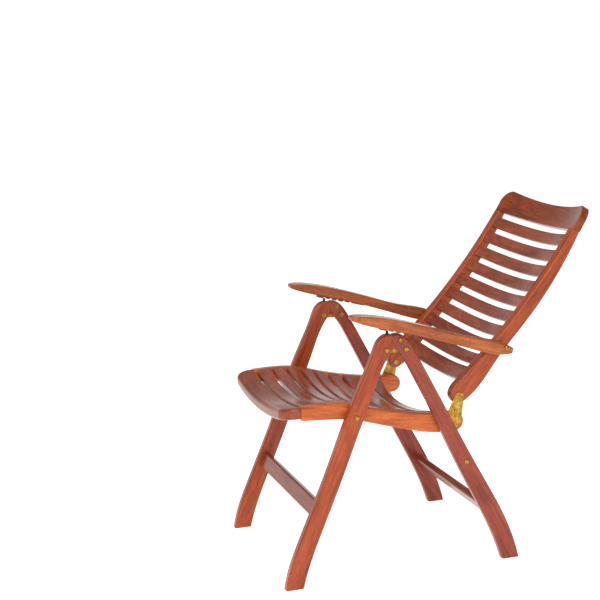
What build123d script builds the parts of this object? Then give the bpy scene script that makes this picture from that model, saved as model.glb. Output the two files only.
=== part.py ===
from build123d import *
import math
import os

# Folding garden armchair of oiled hardwood with brass fittings, in millimetres.
# +Z is up, the sitter faces -Y and +X is the sitter's left. Lengths along Y are drawn from
# midway between the feet; every piece is saved CENTRE_Y further forward, which puts the
# origin on the floor at the centre of the whole chair. It is modelled open, with the back
# fully reclined.

# ---------------------------------------------------------------- driving dimensions
CENTRE_Y = 134.05            # middle of the chair's whole depth, from midway between the feet
LEG_OUT = 290.0              # outer faces of the legs
LEG_IN = 264.0               # inner faces of the legs
RAIL_OUT = 260.0             # outer faces of the seat rails and back stiles
RAIL_IN = 231.0              # inner faces of the seat rails and back stiles
ARM_IN = 262.0               # inner face of the armrests at their pivot
ARM_OUT = 298.0              # outer face of the armrests at their pivot

APEX_PIVOT = (-24.0, 598.0)  # (y, z) of each joint axis; every axis runs along X
SEAT_PIVOT = (-112.5, 431.0)
STAY_PIVOT = (181.5, 279.0)
BACK_PIVOT = (178.0, 446.0)
ARM_PIVOT = (302.0, 572.0)
STAY_STUD = (144.0, 388.0)   # where the seat hangs in the stay's slot

BOLT_R = 4.0                 # shank of every pivot bolt
FIT = 0.05                   # radial play of a turning fit
HEAD_R = 6.5                 # domed bolt heads
HEAD_H = 4.0
HEAD_ROUND = 3.0
LOW_HEAD = 2.5               # flatter heads on the inner faces of the leg heads
PIN_HEAD = 3.0               # heads of the back's pins, on the inner faces of the stiles
WOOD_ROUND = 5.0             # rounded edges of the legs, rails and stiles

APEX_PLATE_BOLTS = [(14.5, 621.0), (27.5, 596.0)]
APEX_PLATE = (276.0, 278.3)  # inner and outer x of the brass plate let into the leg heads
APEX_PLATE_R = 9.0
KERF_GAP = 0.3               # clearance between the plate and its kerfs
FOLD = 40.0                  # how far the rear legs swing forward, in degrees

STRETCHER_T = 20.0
FRONT_STRETCHER = (-221.0, 193.0)   # middle of each stretcher's section
FRONT_STRETCHER_H = 44.0
FRONT_LEAN = 66.0                   # slope of its height, in degrees
REAR_STRETCHER = (254.0, 130.0)
REAR_STRETCHER_H = 38.0
REAR_LEAN = 122.0
DOWEL_R = 4.0
DOWEL_REACH = 18.0

KNOB = (163.5, 383.0)        # rounded rear end of each seat rail
KNOB_R = 25.5
RAIL_FRONT = -249.0          # seam between the seat rails and the front rail
FRONT_EDGE = -304.0
FRONT_CORNER = 46.0          # rounded corners of the front rail, seen from above

STAY_X = (262.1, 263.7)
STAY_R = 9.0
SLOT_R = 4.3
SLOT_START = 26.0            # slot's near end, from the stay's pivot

HINGE_X = (260.0, 261.8)
HINGE_SCREWS = [(160.0, 398.0), (163.0, 376.0)]
PIN_END = 240.0              # how far pins and bolts reach into a rail or a stile

BACK_ANGLE = 49.6            # slope of the reclined back, in degrees
BACK_SAG = 31.0              # hollow of the back slats across the chair
BACK_SLATS = 9
BACK_PITCH = 48.6
BACK_FIRST = 502.9           # highest slat, measured up the back from its pivot
BACK_SLAT_W = 34.0
BACK_SLAT_T = 13.0
TOP_RAIL = (535.5, 605.5)
TOP_CORNER = 38.0            # rounded corners of the top rail
TOP_DIP = 8.0                # how much lower the middle of its top edge is
BOTTOM_RAIL = (42.0, 86.0)

SEAT_SAG = 24.0              # hollow of the seat across the chair
SEAT_SLAT_T = 18.0
SEAT_GAP = 12.0
SEAT_GAPS = [-245.0, -199.0, -156.0, -114.0, -74.0, -34.0, 8.0, 71.0]
REAR_SLAT_END = 128.0

ARM_ANGLE = 163.95           # slope of the armrest, from its pivot to its tip
PADDLE_OUT = 318.0           # outer x of the armrest where it is widest
RACK_X = (269.0, 285.0)
RACK_TOP = -9.0
# Lower edge of the notched rack, then the centres of its notches, measured like the armrest:
# forward from the arm's pivot, then up from the arm's line.
RACK_EDGE = [(205.0, -15.4), (262.0, -15.4), (270.0, -16.4), (324.0, -16.4), (330.0, -17.2),
             (350.0, -17.2)]
NOTCHES = [(248.0, -16.4), (268.0, -17.2), (288.0, -17.4), (308.0, -17.4), (328.3, -18.0)]
NOTCH_R = 5.0
PEG = (-18.0, 647.0)         # top of the peg that the armrest sits on
PEG_R = 3.5

SIDES = [("left", 1), ("right", -1)]


def side_plane(sign, inner, outer):
    """Plane across the chair's side whose extrusion fills inner..outer on that side."""
    return Plane.YZ.offset(inner if sign > 0 else -outer)


def drill(sign, points, radius, inner, outer):
    """Round holes along X, from inner to outer, cut from the part in progress."""
    with BuildSketch(side_plane(sign, inner, outer)) as circles:
        with Locations(*points):
            Circle(radius)
    extrude(circles.sketch, amount=outer - inner, mode=Mode.SUBTRACT)


def rods(points, radius, inner, outer):
    """Round rods along X, from inner to outer, on both sides of the chair."""
    for _, sign in SIDES:
        with BuildSketch(side_plane(sign, inner, outer)) as circles:
            with Locations(*points):
                Circle(radius)
        extrude(circles.sketch, amount=outer - inner)


def round_heads(bolts):
    """Dome the heads, whose outer edges are the outermost edges of the bolts."""
    rims = bolts.edges().group_by(Axis.X)
    fillet(rims[0] + rims[-1], radius=HEAD_ROUND)


def cut_kerf(sign, angles):
    """Kerf for the apex plate as it stands at the given fold angles."""
    eyes = [APEX_PIVOT]
    for angle in angles:
        turn = math.radians(angle)
        for y, z in APEX_PLATE_BOLTS:
            dy, dz = y - APEX_PIVOT[0], z - APEX_PIVOT[1]
            eyes.append((APEX_PIVOT[0] + dy * math.cos(turn) + dz * math.sin(turn),
                         APEX_PIVOT[1] - dy * math.sin(turn) + dz * math.cos(turn)))
    inner, outer = APEX_PLATE[0] - KERF_GAP, APEX_PLATE[1] + KERF_GAP
    with BuildSketch(side_plane(sign, inner, outer)) as kerf:
        with Locations(*eyes):
            Circle(APEX_PLATE_R + KERF_GAP)
        make_hull()
    extrude(kerf.sketch, amount=outer - inner, mode=Mode.SUBTRACT)


def save(part, name):
    """Write one piece, in the whole chair's own frame."""
    piece = Pos(0, -CENTRE_Y, 0) * part
    piece.label = name
    export_step(piece, f"parts/{name}.step")


os.makedirs("parts", exist_ok=True)

# ---------------------------------------------------------------- front legs
# Slightly bowed boards that end in a rounded head. The head's flat rear face butts on the
# rear leg's head, which is the stop that holds the chair open.
def stretcher_dowels(centre, lean, spread):
    """Two dowel centres on the board's height."""
    run = (math.cos(math.radians(lean)), math.sin(math.radians(lean)))
    return [(centre[0] + s * spread * run[0], centre[1] + s * spread * run[1]) for s in (-1, 1)]


FRONT_DOWELS = stretcher_dowels(FRONT_STRETCHER, FRONT_LEAN, 12.0)
REAR_DOWELS = stretcher_dowels(REAR_STRETCHER, REAR_LEAN, 10.0)

for side, sign in SIDES:
    with BuildPart() as front_leg:
        with BuildSketch(side_plane(sign, LEG_IN, LEG_OUT)):
            with BuildLine():
                Line((-6.2, 598.0), (-6.2, 636.0))
                Spline((-6.2, 636.0), (-26.0, 637.0), (-45.0, 624.0), (-60.0, 595.0), (-108.0, 497.0),
                       (-197.0, 298.0), (-279.0, 122.0), (-311.0, 46.0), (-323.0, 0.0))
                Line((-323.0, 0.0), (-275.0, 0.0))
                Spline((-275.0, 0.0), (-250.0, 72.0), (-217.0, 147.0), (-148.0, 298.0),
                       (-105.0, 398.0), (-64.0, 491.0), (-26.0, 572.0), (-6.2, 598.0))
            make_face()
        extrude(amount=LEG_OUT - LEG_IN)
        fillet(front_leg.edges().filter_by(GeomType.BSPLINE), radius=WOOD_ROUND)
        drill(sign, [APEX_PIVOT, SEAT_PIVOT], BOLT_R, LEG_IN, LEG_OUT)
        cut_kerf(sign, [0.0, FOLD])
        drill(sign, FRONT_DOWELS, DOWEL_R, LEG_IN, LEG_IN + DOWEL_REACH)
        with BuildSketch(Plane(origin=(sign * (LEG_IN + LEG_OUT) / 2, PEG[0], PEG[1]))):
            Circle(PEG_R)
        extrude(amount=-26.0, mode=Mode.SUBTRACT)
    save(front_leg.part, f"front_leg_{side}")

# ---------------------------------------------------------------- rear legs
for side, sign in SIDES:
    with BuildPart() as rear_leg:
        with BuildSketch(side_plane(sign, LEG_IN, LEG_OUT)):
            with BuildLine():
                Line((-5.8, 606.0), (-5.8, 636.0))
                Spline((-5.8, 636.0), (14.0, 636.0), (33.0, 620.0), (50.0, 592.0), (104.0, 484.0),
                       (219.0, 250.0), (301.5, 74.0), (321.5, 0.0))
                Line((321.5, 0.0), (274.5, 0.0))
                Spline((274.5, 0.0), (249.5, 74.0), (182.0, 221.0), (130.0, 336.0), (88.0, 434.0),
                       (46.0, 524.0), (16.0, 580.0), (-5.8, 606.0))
            make_face()
        extrude(amount=LEG_OUT - LEG_IN)
        fillet(rear_leg.edges().filter_by(GeomType.BSPLINE), radius=WOOD_ROUND)
        drill(sign, APEX_PLATE_BOLTS + [STAY_PIVOT], BOLT_R, LEG_IN, LEG_OUT)
        cut_kerf(sign, [0.0])
        drill(sign, REAR_DOWELS, DOWEL_R, LEG_IN, LEG_IN + DOWEL_REACH)
    save(rear_leg.part, f"rear_leg_{side}")

# ---------------------------------------------------------------- stretchers and dowels
for name, centre, height, lean, dowels in [
    ("front_stretcher", FRONT_STRETCHER, FRONT_STRETCHER_H, FRONT_LEAN, FRONT_DOWELS),
    ("rear_stretcher", REAR_STRETCHER, REAR_STRETCHER_H, REAR_LEAN, REAR_DOWELS),
]:
    with BuildPart() as stretcher:
        with BuildSketch(Plane.YZ.offset(-LEG_IN)):
            with Locations(centre):
                Rectangle(height, STRETCHER_T, rotation=lean)
        extrude(amount=2 * LEG_IN)
        fillet(stretcher.edges().filter_by(Axis.X), radius=WOOD_ROUND)
        for _, sign in SIDES:
            drill(sign, dowels, DOWEL_R, LEG_IN - DOWEL_REACH, LEG_IN)
    save(stretcher.part, name)
    with BuildPart() as dowel_set:
        rods(dowels, DOWEL_R, LEG_IN - DOWEL_REACH, LEG_IN + DOWEL_REACH)
    save(dowel_set.part, f"{name}_dowels")

# ---------------------------------------------------------------- brass at the apex
with BuildPart() as apex_bolts:
    rods([APEX_PIVOT], BOLT_R, LEG_IN, LEG_OUT)
    rods([APEX_PIVOT], HEAD_R, LEG_IN - LOW_HEAD, LEG_IN)
    rods([APEX_PIVOT], HEAD_R, LEG_OUT, LEG_OUT + HEAD_H)
    round_heads(apex_bolts)
save(apex_bolts.part, "apex_pivot_bolts")

for side, sign in SIDES:
    with BuildPart() as apex_plate:
        with BuildSketch(side_plane(sign, *APEX_PLATE)):
            with Locations(APEX_PIVOT, *APEX_PLATE_BOLTS):
                Circle(APEX_PLATE_R)
            make_hull()
        extrude(amount=APEX_PLATE[1] - APEX_PLATE[0])
        drill(sign, [APEX_PIVOT], BOLT_R + FIT, *APEX_PLATE)
        drill(sign, APEX_PLATE_BOLTS, BOLT_R, *APEX_PLATE)
    save(apex_plate.part, f"apex_plate_{side}")

with BuildPart() as apex_plate_bolts:
    rods(APEX_PLATE_BOLTS, BOLT_R, LEG_IN, LEG_OUT)
    rods(APEX_PLATE_BOLTS, HEAD_R, LEG_IN - LOW_HEAD, LEG_IN)
    rods(APEX_PLATE_BOLTS, HEAD_R, LEG_OUT, LEG_OUT + HEAD_H)
    round_heads(apex_plate_bolts)
save(apex_plate_bolts.part, "apex_plate_bolts")

with BuildPart() as rest_pegs:
    for _, sign in SIDES:
        with BuildSketch(Plane(origin=(sign * (LEG_IN + LEG_OUT) / 2, PEG[0], PEG[1]))):
            Circle(PEG_R)
        extrude(amount=-26.0)
    fillet(rest_pegs.edges().group_by(Axis.Z)[-1], radius=2.5)
save(rest_pegs.part, "rest_pegs")

# ---------------------------------------------------------------- seat side rails
for side, sign in SIDES:
    with BuildPart() as seat_rail:
        with BuildSketch(side_plane(sign, RAIL_IN, RAIL_OUT)):
            with BuildLine():
                Line((RAIL_FRONT, 432.0), (RAIL_FRONT, 467.5))
                Spline((RAIL_FRONT, 467.5), (-165.0, 468.0), (-112.0, 461.0), (-72.0, 449.0),
                       (-20.0, 434.0), (69.0, 416.0), (125.0, 408.5), (KNOB[0], KNOB[1] + KNOB_R))
                ThreePointArc((KNOB[0], KNOB[1] + KNOB_R), (KNOB[0] + KNOB_R, KNOB[1]),
                              (KNOB[0], KNOB[1] - KNOB_R))
                Spline((KNOB[0], KNOB[1] - KNOB_R), (125.0, 357.0), (44.0, 373.0), (-54.0, 402.0),
                       (-120.0, 420.0), (-199.0, 428.5), (RAIL_FRONT, 432.0))
            make_face()
        extrude(amount=RAIL_OUT - RAIL_IN)
        fillet(seat_rail.edges().filter_by(GeomType.LINE, reverse=True), radius=WOOD_ROUND)
        drill(sign, [SEAT_PIVOT], BOLT_R + FIT, PIN_END - 0.5, RAIL_OUT)
        drill(sign, [STAY_STUD], BOLT_R, PIN_END, RAIL_OUT)
        drill(sign, HINGE_SCREWS, 2.5, PIN_END, RAIL_OUT)
    save(seat_rail.part, f"seat_rail_{side}")

with BuildPart() as seat_bolts:
    rods([SEAT_PIVOT], BOLT_R, PIN_END, LEG_OUT)
    rods([SEAT_PIVOT], HEAD_R, LEG_OUT, LEG_OUT + HEAD_H)
    round_heads(seat_bolts)
save(seat_bolts.part, "seat_pivot_bolts")

with BuildPart() as seat_washers:
    rods([SEAT_PIVOT], 9.0, RAIL_OUT + 0.1, LEG_IN)
    for _, sign in SIDES:
        drill(sign, [SEAT_PIVOT], BOLT_R, RAIL_OUT + 0.1, LEG_IN)
save(seat_washers.part, "seat_washers")

# ---------------------------------------------------------------- seat boards
# The boards follow the side rails' top line and hang SEAT_SAG lower in the middle.
RAIL_TOP = [(-249.0, 467.5), (-165.0, 468.0), (-112.0, 461.0), (-72.0, 449.0), (-20.0, 434.0),
            (69.0, 416.0), (125.0, 408.5), (160.0, 408.5)]


def rail_top(y):
    """Height of the side rails' top line at y."""
    for (y0, z0), (y1, z1) in zip(RAIL_TOP, RAIL_TOP[1:]):
        if y <= y1:
            return z0 + (z1 - z0) * (y - y0) / (y1 - y0)
    return RAIL_TOP[-1][1]


def seat_board(y0, y1, thickness, half_width):
    """Board from y0 to y1, tilted with the rails, its top hollowed across the chair."""
    z0, z1 = rail_top(y0), rail_top(y1)
    tilt = math.atan2(z1 - z0, y1 - y0)
    length = math.hypot(y1 - y0, z1 - z0)
    across = Plane(origin=(0, y0, z0), x_dir=(1, 0, 0), z_dir=(0, -math.cos(tilt), -math.sin(tilt)))
    with BuildSketch(across) as section:
        with BuildLine():
            ThreePointArc((-half_width, 0), (0, -SEAT_SAG), (half_width, 0))
            Line((half_width, 0), (half_width, -thickness))
            ThreePointArc((half_width, -thickness), (0, -SEAT_SAG - thickness),
                          (-half_width, -thickness))
            Line((-half_width, -thickness), (-half_width, 0))
        make_face()
    extrude(section.sketch, amount=-length)


for number, (gap_before, gap_after) in enumerate(zip(SEAT_GAPS, SEAT_GAPS[1:]), start=1):
    with BuildPart() as seat_slat:
        seat_board(gap_before + SEAT_GAP / 2, gap_after - SEAT_GAP / 2, SEAT_SLAT_T, RAIL_IN)
        fillet(seat_slat.edges().filter_by(GeomType.CIRCLE), radius=3.0)
    save(seat_slat.part, f"seat_slat_{number}")

with BuildPart() as rear_slat:
    seat_board(SEAT_GAPS[-1] + SEAT_GAP / 2, REAR_SLAT_END, 18.0, RAIL_IN)
    with BuildSketch(Plane.XY.offset(340.0)):
        with BuildLine():
            ThreePointArc((-RAIL_IN, REAR_SLAT_END), (0, REAR_SLAT_END - 24.0), (RAIL_IN, REAR_SLAT_END))
            Line((RAIL_IN, REAR_SLAT_END), (RAIL_IN, REAR_SLAT_END + 20.0))
            Line((RAIL_IN, REAR_SLAT_END + 20.0), (-RAIL_IN, REAR_SLAT_END + 20.0))
            Line((-RAIL_IN, REAR_SLAT_END + 20.0), (-RAIL_IN, REAR_SLAT_END))
        make_face()
    extrude(amount=100.0, mode=Mode.SUBTRACT)
    fillet(rear_slat.edges(), radius=4.0)
save(rear_slat.part, "seat_rear_slat")

with BuildPart() as front_rail:
    with BuildSketch(Plane.XZ.offset(-RAIL_FRONT)):
        with BuildLine():
            ThreePointArc((-RAIL_OUT, 468.0), (0, 468.0 - SEAT_SAG), (RAIL_OUT, 468.0))
            Line((RAIL_OUT, 468.0), (RAIL_OUT, 438.0))
            ThreePointArc((RAIL_OUT, 438.0), (0, 438.0 - SEAT_SAG), (-RAIL_OUT, 438.0))
            Line((-RAIL_OUT, 438.0), (-RAIL_OUT, 468.0))
        make_face()
    extrude(amount=RAIL_FRONT - FRONT_EDGE)
    corner_x, corner_y = RAIL_OUT - FRONT_CORNER, FRONT_EDGE + 3.0 + FRONT_CORNER
    bulge = FRONT_CORNER * math.sqrt(0.5)
    with BuildSketch(Plane.XY.offset(380.0)):
        with BuildLine():
            Line((-RAIL_OUT, RAIL_FRONT), (RAIL_OUT, RAIL_FRONT))
            Line((RAIL_OUT, RAIL_FRONT), (RAIL_OUT, corner_y))
            ThreePointArc((RAIL_OUT, corner_y), (corner_x + bulge, corner_y - bulge),
                          (corner_x, corner_y - FRONT_CORNER))
            ThreePointArc((corner_x, corner_y - FRONT_CORNER), (0, FRONT_EDGE),
                          (-corner_x, corner_y - FRONT_CORNER))
            ThreePointArc((-corner_x, corner_y - FRONT_CORNER), (-corner_x - bulge, corner_y - bulge),
                          (-RAIL_OUT, corner_y))
            Line((-RAIL_OUT, corner_y), (-RAIL_OUT, RAIL_FRONT))
        make_face()
    extrude(amount=120.0, mode=Mode.INTERSECT)
    nose = front_rail.edges().filter_by(lambda edge: edge.center().Y < RAIL_FRONT - 1.0)
    fillet(nose, radius=9.0)
save(front_rail.part, "seat_front_rail")

# ---------------------------------------------------------------- brass between seat and back
for side, sign in SIDES:
    with BuildPart() as hinge_plate:
        with BuildSketch(side_plane(sign, *HINGE_X)):
            with Locations(BACK_PIVOT):
                Circle(13.0)
            with Locations((161.0, 386.0)):
                Circle(20.0)
            with Locations(STAY_STUD):
                Circle(8.5)
            make_hull()
        extrude(amount=HINGE_X[1] - HINGE_X[0])
        drill(sign, [BACK_PIVOT], BOLT_R + FIT, *HINGE_X)
        drill(sign, HINGE_SCREWS, 2.5, *HINGE_X)
        drill(sign, [STAY_STUD], BOLT_R, *HINGE_X)
    save(hinge_plate.part, f"hinge_plate_{side}")

with BuildPart() as hinge_screws:
    rods(HINGE_SCREWS, 2.5, PIN_END, HINGE_X[1])
save(hinge_screws.part, "hinge_plate_screws")

with BuildPart() as back_pins:
    rods([BACK_PIVOT], BOLT_R, RAIL_IN - 0.1, HINGE_X[1] + 0.1)
    rods([BACK_PIVOT], HEAD_R, RAIL_IN - 0.1 - PIN_HEAD, RAIL_IN - 0.1)
save(back_pins.part, "back_pivot_pins")

# ---------------------------------------------------------------- slotted stays
with BuildPart() as stay_studs:
    rods([STAY_STUD], BOLT_R, PIN_END, STAY_X[0] - 0.2)
save(stay_studs.part, "stay_studs")

with BuildPart() as stay_bolts:
    rods([STAY_PIVOT], BOLT_R, STAY_X[0], LEG_OUT)
    rods([STAY_PIVOT], HEAD_R, LEG_OUT, LEG_OUT + HEAD_H)
    round_heads(stay_bolts)
save(stay_bolts.part, "stay_pivot_bolts")

STAY_REACH = math.dist(STAY_PIVOT, STAY_STUD)
STAY_ANGLE = math.degrees(math.atan2(STAY_STUD[1] - STAY_PIVOT[1], STAY_STUD[0] - STAY_PIVOT[0]))


def along_stay(distance):
    """Point on the stay's centre line."""
    share = distance / STAY_REACH
    return (STAY_PIVOT[0] + share * (STAY_STUD[0] - STAY_PIVOT[0]),
            STAY_PIVOT[1] + share * (STAY_STUD[1] - STAY_PIVOT[1]))


for side, sign in SIDES:
    with BuildPart() as stay:
        with BuildSketch(side_plane(sign, *STAY_X)):
            with Locations(along_stay(STAY_REACH / 2)):
                SlotCenterToCenter(STAY_REACH, 2 * STAY_R, rotation=STAY_ANGLE)
            with Locations(along_stay((SLOT_START + STAY_REACH) / 2)):
                SlotCenterToCenter(STAY_REACH - SLOT_START, 2 * SLOT_R, rotation=STAY_ANGLE,
                                   mode=Mode.SUBTRACT)
            with Locations(STAY_PIVOT):
                Circle(BOLT_R + FIT, mode=Mode.SUBTRACT)
        extrude(amount=STAY_X[1] - STAY_X[0])
    save(stay.part, f"stay_{side}")

# ---------------------------------------------------------------- back
# Measured from the pivot: u runs up the back and w stands out towards the sitter.
UP = (math.cos(math.radians(BACK_ANGLE)), math.sin(math.radians(BACK_ANGLE)))


def back_plane(x):
    """Side plane of the back with u and w as its axes."""
    return Plane(origin=(x, *BACK_PIVOT), x_dir=(0, *UP), z_dir=(1, 0, 0))


def back_bow(u):
    """Where the middle of the bowed stile stands at u, and its slope there."""
    share = (u - 300.0) / 290.0
    return -12.0 + 22.0 * share ** 2, math.atan(44.0 / 290.0 * share)


def stile_end(w):
    """Point at w on the stile's top end, which meets the top rail's lower face."""
    middle, slope = back_bow(sum(TOP_RAIL) / 2)
    half = (TOP_RAIL[1] - TOP_RAIL[0]) / 2
    drop = half * math.cos(slope) + (w - middle + half * math.sin(slope)) * math.tan(slope)
    return (sum(TOP_RAIL) / 2 - drop, w)


def back_board(u, half_width, length, thickness):
    """Board across the back at u, hollowed towards the rear."""
    w, slope = back_bow(u)
    angle = math.radians(BACK_ANGLE) + slope
    origin = (0, BACK_PIVOT[0] + u * UP[0] - w * UP[1], BACK_PIVOT[1] + u * UP[1] + w * UP[0])
    plane = Plane(origin=origin, x_dir=(1, 0, 0), z_dir=(0, math.cos(angle), math.sin(angle)))
    half = thickness / 2
    with BuildSketch(plane) as section:
        with BuildLine():
            ThreePointArc((-half_width, -half), (0, BACK_SAG - half), (half_width, -half))
            Line((half_width, -half), (half_width, half))
            ThreePointArc((half_width, half), (0, BACK_SAG + half), (-half_width, half))
            Line((-half_width, half), (-half_width, -half))
        make_face()
    extrude(section.sketch, amount=length / 2, both=True)
    return plane


for side, sign in SIDES:
    with BuildPart() as stile:
        with BuildSketch(back_plane(RAIL_IN if sign > 0 else -RAIL_OUT)):
            with BuildLine():
                ThreePointArc((30.0, 27.5), (315.0, 3.0), stile_end(13.8))
                Line(stile_end(13.8), stile_end(-8.2))
                Spline(stile_end(-8.2), (430.0, -26.0), (285.0, -33.0), (140.0, -28.0), (0.0, -19.0),
                       (-15.0, -10.0), (-18.0, 6.0), (-9.0, 22.0), (8.0, 28.5), (30.0, 27.5))
            make_face()
        extrude(amount=RAIL_OUT - RAIL_IN)
        fillet(stile.edges().filter_by(GeomType.LINE, reverse=True), radius=WOOD_ROUND)
        drill(sign, [BACK_PIVOT], BOLT_R + FIT, RAIL_IN, RAIL_OUT)
        drill(sign, [ARM_PIVOT], BOLT_R + FIT, PIN_END - 0.5, RAIL_OUT)
    save(stile.part, f"back_stile_{side}")

for number in range(1, BACK_SLATS + 1):
    with BuildPart() as back_slat:
        back_board(BACK_FIRST - BACK_PITCH * (number - 1), RAIL_IN, BACK_SLAT_W, BACK_SLAT_T)
        fillet(back_slat.edges().filter_by(GeomType.CIRCLE), radius=3.0)
    save(back_slat.part, f"back_slat_{number}")

with BuildPart() as bottom_rail:
    back_board(sum(BOTTOM_RAIL) / 2, RAIL_IN, BOTTOM_RAIL[1] - BOTTOM_RAIL[0], 16.0)
    fillet(bottom_rail.edges().filter_by(GeomType.CIRCLE), radius=3.0)
save(bottom_rail.part, "back_bottom_rail")

with BuildPart() as top_rail:
    rail_plane = back_board(sum(TOP_RAIL) / 2, RAIL_OUT, TOP_RAIL[1] - TOP_RAIL[0], 22.0)
    face = Plane(origin=rail_plane.origin - rail_plane.y_dir * 40.0, x_dir=(1, 0, 0),
                 z_dir=rail_plane.y_dir)
    # On this plane the local y axis points down the back.
    half = (TOP_RAIL[1] - TOP_RAIL[0]) / 2
    corner_x, corner_y = RAIL_OUT - TOP_CORNER, TOP_CORNER - half
    bulge = TOP_CORNER * math.sqrt(0.5) - 1.0
    with BuildSketch(face):
        with BuildLine():
            Line((-RAIL_OUT, half), (RAIL_OUT, half))
            Line((RAIL_OUT, half), (RAIL_OUT, TOP_CORNER - half))
            ThreePointArc((RAIL_OUT, TOP_CORNER - half), (corner_x + bulge, corner_y - bulge),
                          (corner_x, -half))
            ThreePointArc((corner_x, -half), (0, TOP_DIP - half), (-corner_x, -half))
            ThreePointArc((-corner_x, -half), (-corner_x - bulge, corner_y - bulge),
                          (-RAIL_OUT, TOP_CORNER - half))
            Line((-RAIL_OUT, TOP_CORNER - half), (-RAIL_OUT, half))
        make_face()
    extrude(amount=120.0, mode=Mode.INTERSECT)
    fillet(top_rail.edges(), radius=3.0)
save(top_rail.part, "back_top_rail")

# ---------------------------------------------------------------- armrests
# Measured from the pivot: s runs forward along the arm and h stands up from it.
FORWARD = (math.cos(math.radians(ARM_ANGLE)), math.sin(math.radians(ARM_ANGLE)))
ARM_UP = (FORWARD[1], -FORWARD[0])


def arm_plane(x):
    """Side plane of the armrest with s and h as its axes, facing -X."""
    return Plane(origin=(x, *ARM_PIVOT), x_dir=(0, *FORWARD), z_dir=(-1, 0, 0))


with BuildPart() as arm_bolts:
    rods([ARM_PIVOT], BOLT_R, PIN_END, ARM_OUT)
    rods([ARM_PIVOT], HEAD_R, ARM_OUT, ARM_OUT + HEAD_H)
    round_heads(arm_bolts)
save(arm_bolts.part, "arm_pivot_bolts")

with BuildPart() as arm_washers:
    rods([ARM_PIVOT], 9.0, RAIL_OUT + 0.1, ARM_IN - 0.1)
    for _, sign in SIDES:
        drill(sign, [ARM_PIVOT], BOLT_R, RAIL_OUT + 0.1, ARM_IN - 0.1)
save(arm_washers.part, "arm_washers")

for side, sign in SIDES:
    far_face = PADDLE_OUT + 2.0 if sign > 0 else -ARM_IN + 2.0
    with BuildPart() as armrest:
        with BuildSketch(arm_plane(far_face)):
            with BuildLine():
                Spline((-20.0, 1.0), (0.0, 7.5), (90.0, 8.5), (190.0, 12.5), (288.0, 17.0),
                       (390.0, 13.0), (436.0, 4.0))
                Line((436.0, 4.0), (436.0, -7.0))
                Spline((436.0, -7.0), (384.0, -11.0), (281.0, -11.5), (183.0, -15.0), (82.0, -22.5),
                       (10.0, -22.0), (-20.0, -13.0))
                Line((-20.0, -13.0), (-20.0, 1.0))
            make_face()
        extrude(amount=PADDLE_OUT - ARM_IN + 4.0)
        with BuildSketch(Plane(origin=(0, *ARM_PIVOT), x_dir=(0, *FORWARD), z_dir=(0, *ARM_UP))):
            with BuildLine():
                Line((-24.0, sign * ARM_IN), (424.0, sign * ARM_IN))
                Line((424.0, sign * ARM_IN), (437.0, sign * (ARM_IN + 10.0)))
                Line((437.0, sign * (ARM_IN + 10.0)), (437.0, sign * (PADDLE_OUT - 18.0)))
                Line((437.0, sign * (PADDLE_OUT - 18.0)), (416.0, sign * PADDLE_OUT))
                Spline((416.0, sign * PADDLE_OUT), (320.0, sign * 314.0), (200.0, sign * 302.0),
                       (-24.0, sign * ARM_OUT))
                Line((-24.0, sign * ARM_OUT), (-24.0, sign * ARM_IN))
            make_face()
        extrude(amount=40.0, both=True, mode=Mode.INTERSECT)
        fillet(armrest.edges(), radius=WOOD_ROUND)
        drill(sign, [ARM_PIVOT], BOLT_R + FIT, ARM_IN - 2.0, ARM_OUT + 2.0)
        with BuildSketch(arm_plane(max(sign * x for x in RACK_X))):
            with Locations(((RACK_EDGE[0][0] + RACK_EDGE[-1][0]) / 2, RACK_TOP - 10.0)):
                Rectangle(RACK_EDGE[-1][0] - RACK_EDGE[0][0], 20.0)
        extrude(amount=RACK_X[1] - RACK_X[0], mode=Mode.SUBTRACT)
    save(armrest.part, f"armrest_{side}")

# The rack fills the groove under the arm; its notches drop over the rest peg.
for side, sign in SIDES:
    with BuildPart() as rack:
        with BuildSketch(arm_plane(max(sign * x for x in RACK_X))):
            with BuildLine():
                Polyline((RACK_EDGE[0][0], RACK_TOP), *RACK_EDGE, (RACK_EDGE[-1][0], RACK_TOP),
                         close=True)
            make_face()
            with Locations(*NOTCHES):
                Circle(NOTCH_R, mode=Mode.SUBTRACT)
        extrude(amount=RACK_X[1] - RACK_X[0])
    save(rack.part, f"notch_rack_{side}")
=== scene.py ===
import math

import bpy
from mathutils import Euler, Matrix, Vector

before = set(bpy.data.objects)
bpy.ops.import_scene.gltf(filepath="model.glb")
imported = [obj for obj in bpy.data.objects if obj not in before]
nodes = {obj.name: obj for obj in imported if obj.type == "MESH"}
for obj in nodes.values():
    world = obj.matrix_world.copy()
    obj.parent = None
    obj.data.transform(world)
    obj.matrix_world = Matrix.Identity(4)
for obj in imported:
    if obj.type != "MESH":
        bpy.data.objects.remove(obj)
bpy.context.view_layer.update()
scene = bpy.context.scene

# ---------------------------------------------------------------- camera
CAMERA_AT = (3.9394, -1.3902, 1.4068)
CAMERA_TURN = (80.147, 2.965, 74.019)
CAMERA_LENS = 92.74

camera_data = bpy.data.cameras.new("camera")
camera_data.lens = CAMERA_LENS
camera_data.sensor_width = 36.0
camera = bpy.data.objects.new("camera", camera_data)
camera.location = CAMERA_AT
camera.rotation_euler = Euler([math.radians(a) for a in CAMERA_TURN], "XYZ")
scene.collection.objects.link(camera)
scene.camera = camera

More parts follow.
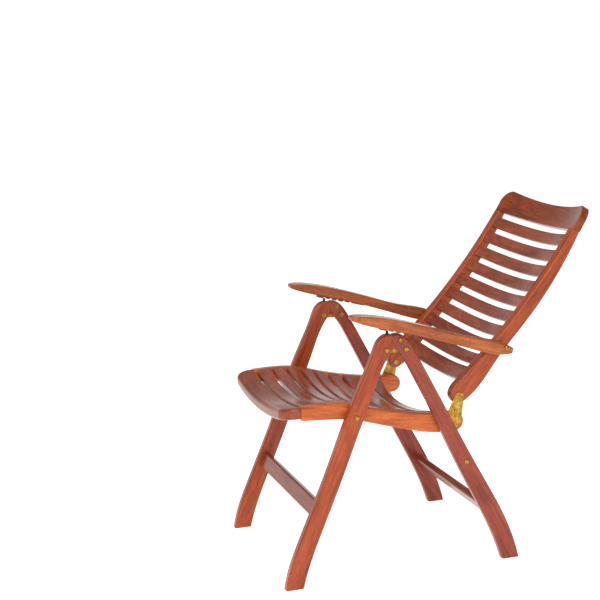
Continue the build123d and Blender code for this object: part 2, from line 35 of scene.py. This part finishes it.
# ---------------------------------------------------------------- studio
# The studio is white at the horizon and darker overhead. Heights run from 0 at the horizon
# to 1 straight up.
SKY_WHITE_BELOW = 0.07
SKY_DARK_ABOVE = 0.26
SKY_WHITE = (1.0, 1.0, 1.0, 1.0)
SKY_DARK = (0.34, 0.33, 0.32, 1.0)
FLOOR_GLOW = 0.75
world = bpy.data.worlds.new("studio")
world.use_nodes = True
sky = world.node_tree
sky_place = sky.nodes.new("ShaderNodeTexCoord")
sky_parts = sky.nodes.new("ShaderNodeSeparateXYZ")
sky_ramp = sky.nodes.new("ShaderNodeValToRGB")
sky_ramp.color_ramp.elements[0].position = SKY_WHITE_BELOW
sky_ramp.color_ramp.elements[0].color = SKY_WHITE
sky_ramp.color_ramp.elements[1].position = SKY_DARK_ABOVE
sky_ramp.color_ramp.elements[1].color = SKY_DARK
sky.links.new(sky_place.outputs["Generated"], sky_parts.inputs[0])
sky.links.new(sky_parts.outputs["Z"], sky_ramp.inputs["Fac"])
sky.links.new(sky_ramp.outputs["Color"], sky.nodes["Background"].inputs["Color"])
scene.world = world
scene.view_settings.view_transform = "Standard"


def area_light(name, at, aim, size, power, colour=(1.0, 1.0, 1.0)):
    """Soft square light at a place, aimed at a point."""
    data = bpy.data.lights.new(name, "AREA")
    data.size = size
    data.energy = power
    data.color = colour
    lamp = bpy.data.objects.new(name, data)
    lamp.location = at
    lamp.rotation_euler = (Vector(aim) - Vector(at)).to_track_quat("-Z", "Y").to_euler()
    scene.collection.objects.link(lamp)


area_light("key", (3.6, -1.6, 2.2), (0.0, 0.0, 0.4), 2.4, 95.0, (1.0, 0.96, 0.92))
area_light("top", (0.6, -0.6, 3.4), (0.0, 0.0, 0.3), 1.6, 35.0)


def new_tree(material):
    """Empty node tree of a material."""
    material.use_nodes = True
    tree = material.node_tree
    tree.nodes.clear()
    return tree


def node(tree, kind, **settings):
    """New shader node; each setting is an input's value or a property of the node."""
    made = tree.nodes.new(kind)
    for key, value in settings.items():
        if key in made.inputs:
            made.inputs[key].default_value = value
        else:
            setattr(made, key, value)
    return made


def ramp(tree, source, stops):
    """Colour ramp over a value; stops are (position, (r, g, b))."""
    made = tree.nodes.new("ShaderNodeValToRGB")
    elements = made.color_ramp.elements
    for element, (at, colour) in zip(elements, (stops[0], stops[-1])):
        element.position = at
        element.color = (*colour, 1.0)
    for at, colour in stops[1:-1]:
        element = elements.new(at)
        element.color = (*colour, 1.0)
    tree.links.new(source, made.inputs["Fac"])
    return made.outputs["Color"]


# Floor: a pale sheet that carries on to the horizon.
floor_material = bpy.data.materials.new("floor")
floor_tree = new_tree(floor_material)
floor_shader = node(floor_tree, "ShaderNodeBsdfDiffuse", Color=(0.93, 0.93, 0.93, 1.0))
floor_glow = node(floor_tree, "ShaderNodeEmission", Color=(1.0, 1.0, 1.0, 1.0), Strength=FLOOR_GLOW)
floor_sum = node(floor_tree, "ShaderNodeAddShader")
floor_out = node(floor_tree, "ShaderNodeOutputMaterial")
floor_tree.links.new(floor_shader.outputs[0], floor_sum.inputs[0])
floor_tree.links.new(floor_glow.outputs[0], floor_sum.inputs[1])
floor_tree.links.new(floor_sum.outputs[0], floor_out.inputs["Surface"])
bpy.ops.mesh.primitive_plane_add(size=60.0, location=(0.0, 0.0, -0.0005))
floor = bpy.context.object
floor.name = "floor"
floor.data.materials.append(floor_material)

# ---------------------------------------------------------------- wood
# Middle colour of the lacquered wood on each kind of piece, and its darkest and palest
# streaks as shares of that colour.
DARK_STREAK = (0.55, 0.48, 0.48)
PALE_STREAK = (1.45, 1.60, 1.60)
TONES = {
    "armrest": (0.33, 0.085, 0.024),
    "back_slat": (0.26, 0.060, 0.028),
    "back_stile": (0.31, 0.055, 0.014),
    "dowel": (0.36, 0.16, 0.075),
    "front_leg": (0.31, 0.052, 0.015),
    "front_rail": (0.26, 0.055, 0.022),
    "rack": (0.16, 0.045, 0.020),
    "rear_leg": (0.26, 0.048, 0.026),
    "seat_rail": (0.46, 0.100, 0.022),
    "seat_slat": (0.29, 0.075, 0.042),
    "stretcher": (0.24, 0.048, 0.020),
    "top_rail": (0.22, 0.042, 0.012),
}


EDGE_WIDTH = 0.003
EDGE_WEAR = 0.35


def wood(name, along, seed, tone):
    """Lacquered hardwood whose grain runs along a direction of the row frame."""
    material = bpy.data.materials.new("wood_" + name)
    tree = new_tree(material)
    link = tree.links.new
    place = node(tree, "ShaderNodeTexCoord")
    turn = node(tree, "ShaderNodeMapping", vector_type="TEXTURE")
    turn.inputs["Rotation"].default_value = Vector(along).to_track_quat("X", "Z").to_euler()
    link(place.outputs["Object"], turn.inputs["Vector"])
    shift = node(tree, "ShaderNodeMapping")
    shift.inputs["Location"].default_value = (seed * 1.37, seed * 0.71, seed * 2.13)
    link(turn.outputs["Vector"], shift.inputs["Vector"])

    def stretched(scale_along, scale_across):
        made = node(tree, "ShaderNodeMapping")
        made.inputs["Scale"].default_value = (scale_along, scale_across, scale_across)
        link(shift.outputs["Vector"], made.inputs["Vector"])
        return made.outputs["Vector"]

    broad = node(tree, "ShaderNodeTexNoise", Scale=1.0, Detail=3.0, Roughness=0.55, Distortion=0.6)
    link(stretched(5.0, 26.0), broad.inputs["Vector"])
    figure = node(tree, "ShaderNodeTexNoise", Scale=1.0, Detail=5.0, Roughness=0.6, Distortion=0.25)
    link(stretched(9.0, 150.0), figure.inputs["Vector"])
    pores = node(tree, "ShaderNodeTexNoise", Scale=1.0, Detail=2.0, Roughness=0.5)
    link(stretched(60.0, 900.0), pores.inputs["Vector"])

    blend = node(tree, "ShaderNodeMix", data_type="FLOAT")
    blend.inputs["Factor"].default_value = 0.5
    link(broad.outputs["Fac"], blend.inputs["A"])
    link(figure.outputs["Fac"], blend.inputs["B"])
    middle = TONES[tone]
    dark = tuple(value * share for value, share in zip(middle, DARK_STREAK))
    light = tuple(value * share for value, share in zip(middle, PALE_STREAK))
    colour = ramp(tree, blend.outputs["Result"], [(0.34, dark), (0.50, middle), (0.66, light)])
    pore_mask = ramp(tree, pores.outputs["Fac"], [(0.36, (0.45, 0.40, 0.38)), (0.46, (1, 1, 1))])
    shaded = node(tree, "ShaderNodeMix", data_type="RGBA", blend_type="MULTIPLY")
    shaded.inputs["Factor"].default_value = 0.6
    link(colour, shaded.inputs["A"])
    link(pore_mask, shaded.inputs["B"])

    # Handled edges are rubbed paler: the rounded normal leaves the flat one near an edge.
    surface = node(tree, "ShaderNodeNewGeometry")
    rounded = node(tree, "ShaderNodeBevel", samples=6)
    rounded.inputs["Radius"].default_value = EDGE_WIDTH
    turned = node(tree, "ShaderNodeVectorMath", operation="DOT_PRODUCT")
    link(surface.outputs["Normal"], turned.inputs[0])
    link(rounded.outputs["Normal"], turned.inputs[1])
    edge = node(tree, "ShaderNodeMapRange")
    edge.inputs["From Min"].default_value = 1.0
    edge.inputs["From Max"].default_value = 0.9
    edge.inputs["To Max"].default_value = EDGE_WEAR
    link(turned.outputs["Value"], edge.inputs["Value"])
    worn = node(tree, "ShaderNodeMix", data_type="RGBA")
    worn.inputs["B"].default_value = (*light, 1.0)
    link(edge.outputs["Result"], worn.inputs["Factor"])
    link(shaded.outputs["Result"], worn.inputs["A"])

    gloss = node(tree, "ShaderNodeMapRange")
    gloss.inputs["From Min"].default_value = 0.3
    gloss.inputs["From Max"].default_value = 0.7
    gloss.inputs["To Min"].default_value = 0.14
    gloss.inputs["To Max"].default_value = 0.26
    link(figure.outputs["Fac"], gloss.inputs["Value"])
    bump = node(tree, "ShaderNodeBump", Strength=0.12, Distance=0.0004)
    link(pores.outputs["Fac"], bump.inputs["Height"])

    shader = node(tree, "ShaderNodeBsdfPrincipled")
    shader.inputs["IOR"].default_value = 1.36
    link(worn.outputs["Result"], shader.inputs["Base Color"])
    link(gloss.outputs["Result"], shader.inputs["Roughness"])
    link(bump.outputs["Normal"], shader.inputs["Normal"])
    out = node(tree, "ShaderNodeOutputMaterial")
    link(shader.outputs["BSDF"], out.inputs["Surface"])
    return material


def metal(name, seed, dark, middle, light):
    """Dull metal with faint clouds of tarnish."""
    material = bpy.data.materials.new("metal_" + name)
    tree = new_tree(material)
    link = tree.links.new
    place = node(tree, "ShaderNodeTexCoord")
    shift = node(tree, "ShaderNodeMapping")
    shift.inputs["Location"].default_value = (seed, seed * 0.6, seed * 1.9)
    link(place.outputs["Object"], shift.inputs["Vector"])
    cloud = node(tree, "ShaderNodeTexNoise", Scale=90.0, Detail=4.0, Roughness=0.6)
    link(shift.outputs["Vector"], cloud.inputs["Vector"])
    colour = ramp(tree, cloud.outputs["Fac"], [(0.30, dark), (0.52, middle), (0.70, light)])
    rough = node(tree, "ShaderNodeMapRange")
    rough.inputs["To Min"].default_value = 0.24
    rough.inputs["To Max"].default_value = 0.42
    link(cloud.outputs["Fac"], rough.inputs["Value"])
    shader = node(tree, "ShaderNodeBsdfPrincipled")
    shader.inputs["Metallic"].default_value = 0.9
    link(colour, shader.inputs["Base Color"])
    link(rough.outputs["Result"], shader.inputs["Roughness"])
    out = node(tree, "ShaderNodeOutputMaterial")
    link(shader.outputs["BSDF"], out.inputs["Surface"])
    return material


def slope(degrees):
    """Direction in the side view, from +Y towards +Z."""
    return (0.0, math.cos(math.radians(degrees)), math.sin(math.radians(degrees)))


ACROSS = (1.0, 0.0, 0.0)
BRASS = ((0.20, 0.09, 0.012), (0.42, 0.23, 0.035), (0.60, 0.38, 0.09))
STEEL = ((0.015, 0.013, 0.012), (0.035, 0.030, 0.026), (0.07, 0.06, 0.05))
GRAIN = [
    ("front_leg", slope(64.0), "front_leg"),
    ("rear_leg", slope(-64.0), "rear_leg"),
    ("seat_rail", slope(-9.0), "seat_rail"),
    ("back_stile", slope(49.6), "back_stile"),
    ("armrest", slope(163.95), "armrest"),
    ("notch_rack", slope(163.95), "rack"),
    ("front_stretcher_dowels", ACROSS, "dowel"),
    ("rear_stretcher_dowels", ACROSS, "dowel"),
    ("front_stretcher", ACROSS, "stretcher"),
    ("rear_stretcher", ACROSS, "stretcher"),
    ("seat_front", ACROSS, "front_rail"),
    ("seat", ACROSS, "seat_slat"),
    ("back_top", ACROSS, "top_rail"),
    ("back", ACROSS, "back_slat"),
]
METAL = ("apex", "arm_pivot", "arm_washers", "back_pivot", "hinge_plate", "seat_pivot",
         "seat_washers", "stay")

for seed, name in enumerate(sorted(nodes), start=1):
    piece = nodes[name]
    if name == "rest_pegs":
        finish = metal(name, seed, *STEEL)
    elif name.startswith(METAL):
        finish = metal(name, seed, *BRASS)
    else:
        along, tone = next((g[1], g[2]) for g in GRAIN if name.startswith(g[0]))
        finish = wood(name, along, seed, tone)
    piece.data.materials.clear()
    piece.data.materials.append(finish)
